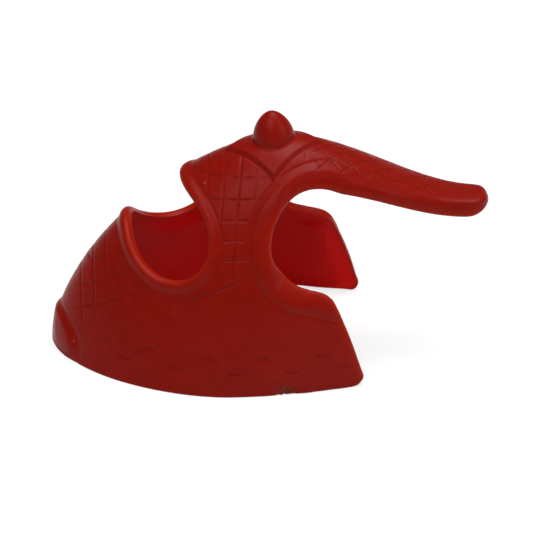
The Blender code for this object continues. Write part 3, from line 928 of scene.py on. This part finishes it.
def stud_rings():
    """Rings of points, with one inside the wall first.  The radius is the superellipse of the height's
    share, the foot follows the vault, and the axis leans with height."""
    share = np.sin(np.linspace(0.0, np.pi / 2, STUD_RINGS))[:, None]
    turn = np.linspace(0.0, 2 * np.pi, STUD_TURNS, endpoint=False)[None, :]
    radius = STUD_RADIUS * superellipse(share, STUD_FULLNESS)
    foot_y = STUD_RADIUS * np.sin(turn)
    across = (foot_y / plan_half_width(PLAQUE_X)) ** 2
    power = section_power(PLAQUE_X)
    seat = ridge_height(PLAQUE_X + STUD_RADIUS * np.cos(turn)) * (1.0 - across) ** (1.0 / power)
    lean = 2.0 * seat * foot_y / (power * (1.0 - across) * plan_half_width(PLAQUE_X) ** 2)
    low = seat + PLAQUE_RISE * np.hypot(1.0, lean) + STUD_FILLET
    x = PLAQUE_X + (STUD_TOP - low) * share * np.tan(STUD_TILT) + radius * np.cos(turn)
    y = radius * np.sin(turn)
    z = low + (STUD_TOP - low) * share
    skirt = np.stack((x[0], y[0], z[0] - WALL / 2), -1)[None]
    return np.concatenate((skirt, np.stack((x, y, z), -1)))


def stud_mesh():
    """Quads round the profile as triangles, with one point at the apex and one under the foot."""
    every = stud_rings()
    rings, apex = every[:-1], every[-1].mean(0)
    base = rings[0].mean(0)
    points = np.concatenate((rings.reshape(-1, 3), [apex, base]))
    index = np.arange(len(rings) * STUD_TURNS).reshape(len(rings), STUD_TURNS)
    after = np.roll(index, -1, axis=1)
    a, b, c, d = index[:-1], after[:-1], after[1:], index[1:]
    top = np.full(STUD_TURNS, len(points) - 2)
    under = np.full(STUD_TURNS, len(points) - 1)
    fans = (np.stack((index[-1], after[-1], top), -1), np.stack((after[0], index[0], under), -1))
    sides = (np.stack((a, b, c), -1).reshape(-1, 3), np.stack((a, c, d), -1).reshape(-1, 3))
    return points, np.concatenate(sides + fans)


points, faces = stud_mesh()
plain = {name: np.zeros(len(points)) for name in FINISHES}
stud = add_mesh("stud", points, faces, unit(normal_sums(points, faces)), plain)
print("stud top at", round(float(points[:, 2].max()) / MM, 2), "mm")

# %% [markdown]
# ## Red plastic
#
# The plastic is one colour right through, with a soft gloss.  What makes it look real is small: slow
# changes of colour and of gloss, a fine tooth from the mould, and a few pale specks.  Light is painted
# into the colour too: a painted glow on the rims, where light would shine through the thin plastic,
# painted shade in the engraved lines, which are also a little duller, and painted light on the inside.
# The numbers that mark rims, lines and the nick are kept on the points, so they follow the form exactly.

# %% Sockets that add up
class Shade:
    """An output socket that can be written in a formula, so that shader maths reads like maths."""

    def __init__(self, tree, socket):
        self.tree, self.socket = tree, socket

    def node(self, kind, settings=None, inputs=None, output=0):
        """Any other node: its type, its settings and its inputs by name or number."""
        made = self.tree.nodes.new(kind)
        for name, value in (settings or {}).items():
            setattr(made, name, value)
        for name, value in (inputs or {}).items():
            if isinstance(value, Shade):
                self.tree.links.new(value.socket, made.inputs[name])
            else:
                made.inputs[name].default_value = value
        return Shade(self.tree, made.outputs[output])

    def math(self, operation, first, second):
        """A Math node on two values, in their order."""
        return self.node("ShaderNodeMath", {"operation": operation}, {0: first, 1: second})

    def __add__(self, other):
        return self.math("ADD", self, other)

    def __radd__(self, other):
        return self.math("ADD", other, self)

    def __sub__(self, other):
        return self.math("SUBTRACT", self, other)

    def __rsub__(self, other):
        return self.math("SUBTRACT", other, self)

    def __mul__(self, other):
        return self.math("MULTIPLY", self, other)

    def __rmul__(self, other):
        return self.math("MULTIPLY", other, self)

    def over(self, limit, softness):
        """Rises smoothly from 0 to 1 as the value passes a limit."""
        inputs = {"Value": self, "From Min": limit, "From Max": limit + softness}
        return self.node("ShaderNodeMapRange", {"interpolation_type": "SMOOTHSTEP"}, inputs)

    def tint(self, first, second):
        """Mixes two colours by this value."""
        inputs = {0: self, 6: first, 7: second}
        return self.node("ShaderNodeMix", {"data_type": "RGBA"}, inputs, output=2)


def new_material(name):
    """A material with an empty Principled shader, and its tree."""
    material = bpy.data.materials.new(name)
    material.use_nodes = True
    return material, material.node_tree, material.node_tree.nodes["Principled BSDF"]


print("shader maths ready")


# %% The plastic's colours and grain
RED = (0.168, 0.0036, 0.0009, 1.0)
RED_DEEP = (0.154, 0.0030, 0.0007, 1.0)
RED_RIM_PAINTED_GLOW = (0.225, 0.0072, 0.0006, 1.0)
RED_INSIDE_PAINTED_LIGHT = (0.44, 0.0006, 0.0003, 1.0)
RED_DUSTY = (0.19, 0.011, 0.0055, 1.0)
RED_LINE_PAINTED_SHADE = (0.085, 0.0016, 0.0008, 1.0)
SCAR_BROWN = (0.085, 0.024, 0.011, 1.0)
SPECK_PALE = (0.42, 0.16, 0.13, 1.0)
CLOUD_SCALE = 70.0
MOTTLE_SCALE = 420.0
TOOTH_SCALE = 2600.0
SCAR_SCALE = 1500.0
SPECK_SCALE = 190.0
SPECK_PATCH_SCALE = 160.0
SPECULAR_LEVEL = 0.062
BUMP_STRENGTH = 0.22
BUMP_HEIGHT = 0.12 * MM
print("grain from", round(1 / TOOTH_SCALE / MM, 2), "to", round(1 / CLOUD_SCALE / MM, 1), "mm")


# %% The plastic's layers
def noise(place, scale, detail, roughness=0.55):
    """Noise over object coordinates, whose cells measure one over the scale in metres."""
    inputs = {"Vector": place, "Scale": scale, "Detail": detail, "Roughness": roughness}
    return place.node("ShaderNodeTexNoise", None, inputs)


def layered_colour(place, mottled, finish):
    """The red, then each of its variations laid over it by a mask: the painted glow of the rims, dust,
    the painted shade of the lines, the painted light of the inside, the scar and specks."""
    cloudy = noise(place, CLOUD_SCALE, 3.0)
    colour = (cloudy * 0.6 + mottled * 0.4).over(0.36, 0.3).tint(RED_DEEP, RED)
    # Painted glow: the rims are painted lighter and more orange, as light shining through the thin plastic.
    colour = (finish["rim"] * 0.75).tint(colour, RED_RIM_PAINTED_GLOW)
    colour = (mottled.over(0.48, 0.2) * 0.12).tint(colour, RED_DUSTY)
    # Painted shade: the engraved lines are painted darker, as shade in the grooves.
    colour = (finish["line"] * 0.6).tint(colour, RED_LINE_PAINTED_SHADE)
    # Painted light: the inner skin is painted a brighter red, standing in for light that shines through the
    # wall and bounces inside.
    colour = (finish["inside"] * 0.9).tint(colour, RED_INSIDE_PAINTED_LIGHT)
    scarred = finish["scar"].over(0.2, 0.5) * (mottled.over(0.4, 0.2) * 0.4 + 0.6)
    colour = scarred.tint(colour, SCAR_BROWN)
    cells = {"Vector": place, "Scale": SPECK_SCALE, "Randomness": 1.0}
    grit = place.node("ShaderNodeTexVoronoi", None, cells)
    specks = (1.0 - grit.over(0.022, 0.012)) * noise(place, SPECK_PATCH_SCALE, 1.0).over(0.54, 0.03)
    return (specks * 0.8).tint(colour, SPECK_PALE)


def grain_height(place, mottled, finish):
    """The mould's fine tooth, the mottling, and the torn grain of the scar, added up."""
    tooth = noise(place, TOOTH_SCALE, 3.0, 0.6)
    torn = finish["scar"] * noise(place, SCAR_SCALE, 4.0)
    return tooth * 0.35 + mottled * 0.65 + torn * 2.5


def red_plastic():
    """Semi-gloss moulded red plastic, read from object coordinates and the finish numbers."""
    material, tree, shader = new_material("moulded_red_plastic")
    place = Shade(tree, tree.nodes.new("ShaderNodeTexCoord").outputs["Object"])
    finish = {name: place.node("ShaderNodeAttribute", {"attribute_name": name}, output="Fac")
              for name in FINISHES}
    mottled = noise(place, MOTTLE_SCALE, 4.0)
    gloss = 0.3 + mottled * 0.12 + finish["line"] * 0.1 + finish["inside"] * 0.08 + finish["rim"] * 0.04
    height = grain_height(place, mottled, finish)
    bump = {"Height": height, "Strength": BUMP_STRENGTH, "Distance": BUMP_HEIGHT}
    tree.links.new(layered_colour(place, mottled, finish).socket, shader.inputs["Base Color"])
    tree.links.new(gloss.socket, shader.inputs["Roughness"])
    tree.links.new(height.node("ShaderNodeBump", None, bump).socket, shader.inputs["Normal"])
    shader.inputs["Specular IOR Level"].default_value = SPECULAR_LEVEL
    return material


plastic = red_plastic()
for piece in shell + [stud]:
    piece.data.materials.append(plastic)
    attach(piece, "root")
    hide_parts("helmet_shell")
print(len(plastic.node_tree.nodes), "nodes in the plastic")

# %% [markdown]
# ## Floor, light and camera
#
# The photograph shows the helmet from its left, a little from above, through a long lens, on white.
# A pale floor that the camera sees as white keeps the object's soft shadow.  Three broad lamps and an
# even world give plain studio light.

# %% Floor
FLOOR_HALF = 1.5
FLOOR_GREY = (0.86, 0.86, 0.86, 1.0)
FLOOR_ROUGHNESS = 0.9
FLOOR_WHITE_SHARE = 0.72
WHITE = (1.0, 1.0, 1.0, 1.0)


def white_floor():
    """A plane whose diffuse shading is mostly replaced, for the camera's rays, by plain white."""
    mesh = bpy.data.meshes.new("floor")
    corners = np.array(((-1, -1, 0), (1, -1, 0), (1, 1, 0), (-1, 1, 0))) * FLOOR_HALF
    mesh.from_pydata(corners, [], [(0, 1, 2, 3)])
    floor = bpy.data.objects.new("floor", mesh)
    bpy.context.scene.collection.objects.link(floor)
    material, tree, shader = new_material("pale_floor")
    shader.inputs["Base Color"].default_value = FLOOR_GREY
    shader.inputs["Roughness"].default_value = FLOOR_ROUGHNESS
    ray = Shade(tree, tree.nodes.new("ShaderNodeLightPath").outputs["Is Camera Ray"])
    white = ray.node("ShaderNodeEmission", None, {"Color": WHITE, "Strength": 1.0})
    shares = {0: ray * FLOOR_WHITE_SHARE, 1: Shade(tree, shader.outputs[0]), 2: white}
    both = ray.node("ShaderNodeMixShader", None, shares)
    tree.links.new(both.socket, tree.nodes["Material Output"].inputs["Surface"])
    mesh.materials.append(material)


white_floor()
print("floor", 2 * FLOOR_HALF, "m wide")

# %% World
WORLD_LEVEL = 0.2
world = bpy.data.worlds.new("studio")
bpy.context.scene.world = world
world.use_nodes = True
world_tree = world.node_tree
background = world_tree.nodes["Background"]
camera_ray = Shade(world_tree, world_tree.nodes.new("ShaderNodeLightPath").outputs["Is Camera Ray"])
background.inputs["Color"].default_value = WHITE
strength = camera_ray * (1.0 - WORLD_LEVEL) + WORLD_LEVEL
world_tree.links.new(strength.socket, background.inputs["Strength"])
print("world level", WORLD_LEVEL)

# %% Lamps
LAMP_SIZE = 0.5
LAMP_AIM = Vector((0.0, 0.0, 20 * MM))


def lamp(name, place, power):
    """A square area lamp that faces the middle of the helmet."""
    data = bpy.data.lights.new(name, "AREA")
    data.size = LAMP_SIZE
    data.energy = power
    item = bpy.data.objects.new(name, data)
    item.location = place
    item.rotation_euler = (LAMP_AIM - Vector(place)).to_track_quat("-Z", "Y").to_euler()
    bpy.context.scene.collection.objects.link(item)


lamp("top_lamp", (0.10, 0.10, 0.85), 8.0)
lamp("front_lamp", (-0.25, -0.50, 0.75), 4.1)
lamp("side_lamp", (0.75, -0.35, 0.45), 2.8)
print(len(bpy.data.lights), "lamps,", LAMP_SIZE, "m wide")

# %% Camera
PHOTO_WIDTH = 533
PIXEL = 0.1945 * MM
ORIGIN_PIXEL = (267.2, 336.5)
CAMERA_ELEVATION = np.radians(30)
CAMERA_DISTANCE = 0.564
SENSOR_WIDTH = 36.0
view_width = PIXEL * PHOTO_WIDTH
camera_data = bpy.data.cameras.new("camera")
camera_data.sensor_width = SENSOR_WIDTH
camera_data.lens = SENSOR_WIDTH * CAMERA_DISTANCE / view_width
camera = bpy.data.objects.new("camera", camera_data)
bpy.context.scene.collection.objects.link(camera)
aim = Vector(((PHOTO_WIDTH / 2 - ORIGIN_PIXEL[0]) * PIXEL, 0.0,
              (ORIGIN_PIXEL[1] - PHOTO_WIDTH / 2) * PIXEL / np.cos(CAMERA_ELEVATION)))
backward = Vector((0.0, -np.cos(CAMERA_ELEVATION), np.sin(CAMERA_ELEVATION)))
camera.location = aim + backward * CAMERA_DISTANCE
camera.rotation_euler = (-backward).to_track_quat("-Z", "Y").to_euler()
bpy.context.scene.camera = camera
bpy.context.scene.view_settings.view_transform = "Standard"
print("lens", round(camera_data.lens, 1), "mm")
